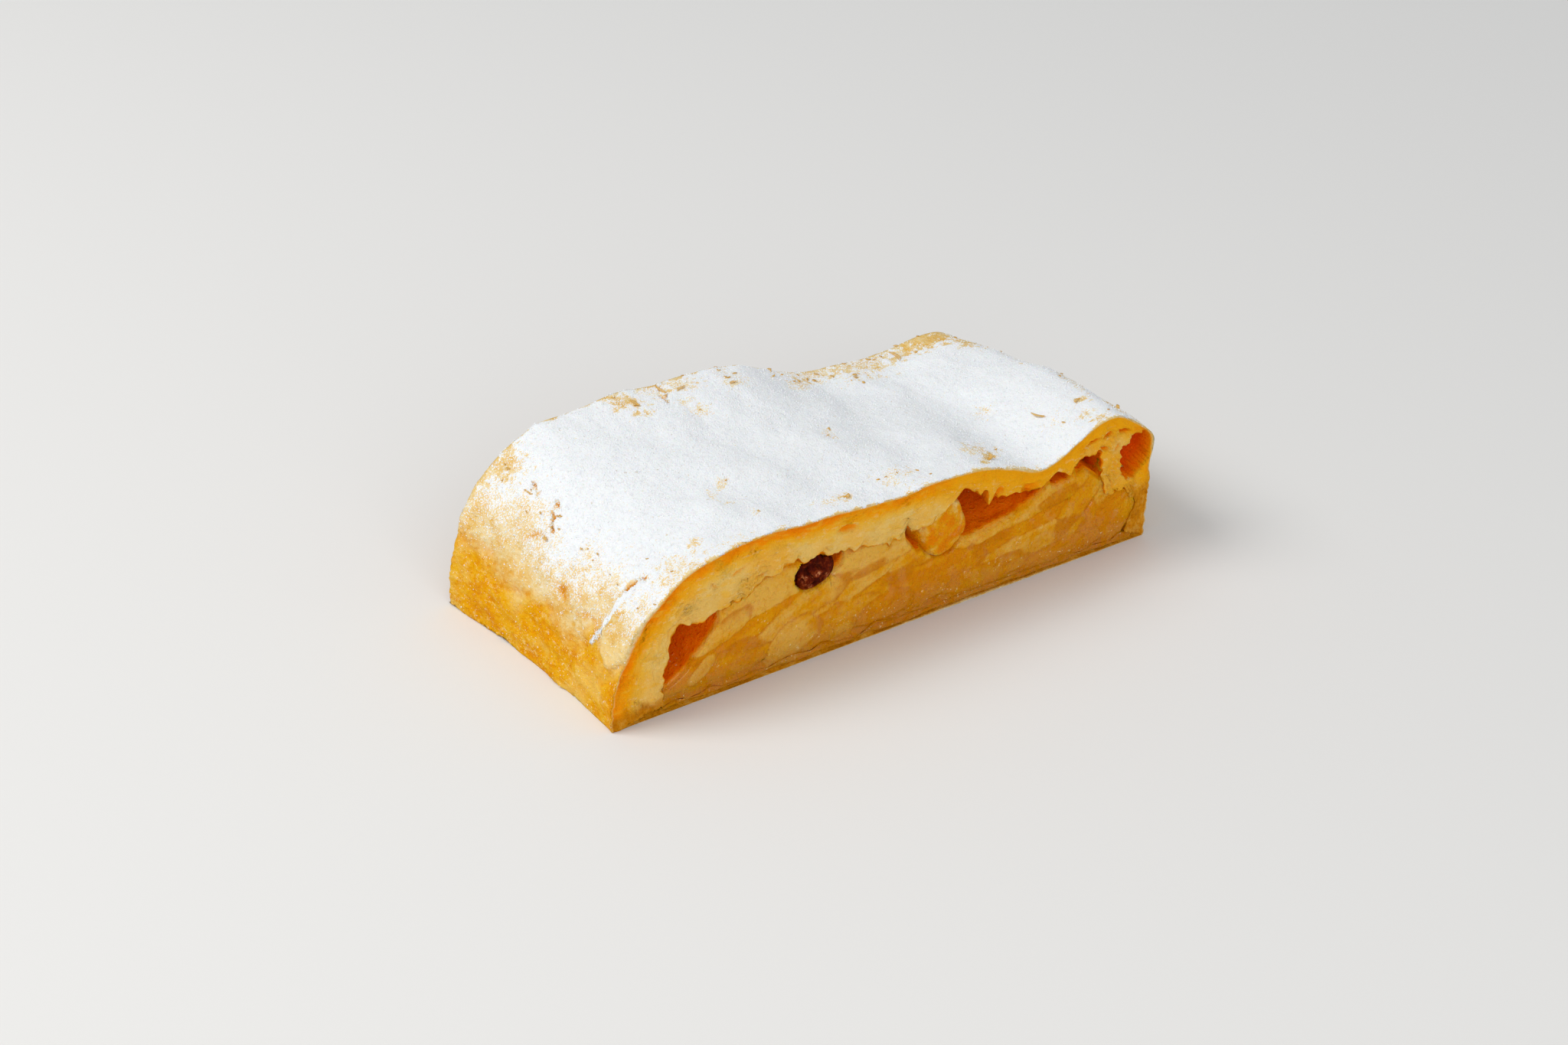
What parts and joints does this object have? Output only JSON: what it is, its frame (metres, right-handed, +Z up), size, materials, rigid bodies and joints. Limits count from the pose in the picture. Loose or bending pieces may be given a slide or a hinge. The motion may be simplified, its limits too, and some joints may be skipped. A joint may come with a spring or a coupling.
{
  "type": "slice of apple strudel",
  "caption": "Slice of apple strudel: a browned dough wrap around a soft apple filling with raisins, dusted with icing sugar and cut across at both ends.",
  "frame": {"origin": "middle of the base, on the surface the slice lies on", "axes": "+X across the roll from the rounded left flank to the right flank, -Y out of the front cut, +Z up"},
  "size_m": [0.1408, 0.062, 0.0364],
  "materials": {
    "baked_dough": "baked strudel dough, golden brown and blistered outside, cream and layered at the cuts",
    "cooked_apple": "soft cooked apple slices, wet and amber to pale beige",
    "soft_wedge": "translucent cooked apple wedge, wet",
    "raisin": "dark wrinkled raisin, slightly moist",
    "icing_sugar": "fine white icing sugar, dry and matte"
  },
  "bodies": {
    "root": {"dough_wrap": "baked_dough", "apple_filling": "cooked_apple", "apple_wedge_front": "soft_wedge", "apple_wedge_back": "soft_wedge", "raisin_front": "raisin", "raisin_back": "raisin"}
  },
  "joints": []
}
